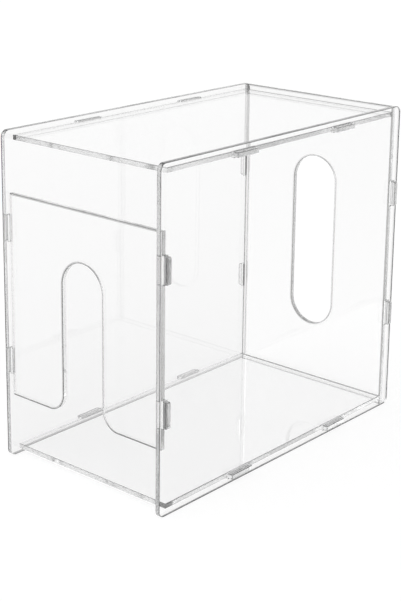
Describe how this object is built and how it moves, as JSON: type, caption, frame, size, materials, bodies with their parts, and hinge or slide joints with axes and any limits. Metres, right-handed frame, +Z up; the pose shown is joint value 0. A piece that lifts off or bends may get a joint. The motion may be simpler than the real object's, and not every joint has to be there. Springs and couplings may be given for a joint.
{
  "type": "breast milk storage freezer box",
  "caption": "Clear acrylic freezer box for milk storage bags laid flat: bags drop in over the front gate and slide out under it. Panels join by tabs in slots.",
  "frame": {"origin": "middle of the footprint, at the level of the side panels' lower edges", "axes": "+Z up, -Y towards the front, where the gate is, +X towards the right side panel, on the right of someone who faces the gate"},
  "size_m": [0.157, 0.272, 0.243],
  "materials": {
    "clear_acrylic": "polished"
  },
  "bodies": {
    "root": {"right_side_panel": "clear_acrylic", "left_side_panel": "clear_acrylic", "top_panel": "clear_acrylic", "floor_panel": "clear_acrylic", "gate_panel": "clear_acrylic", "back_panel": "clear_acrylic"}
  },
  "joints": []
}
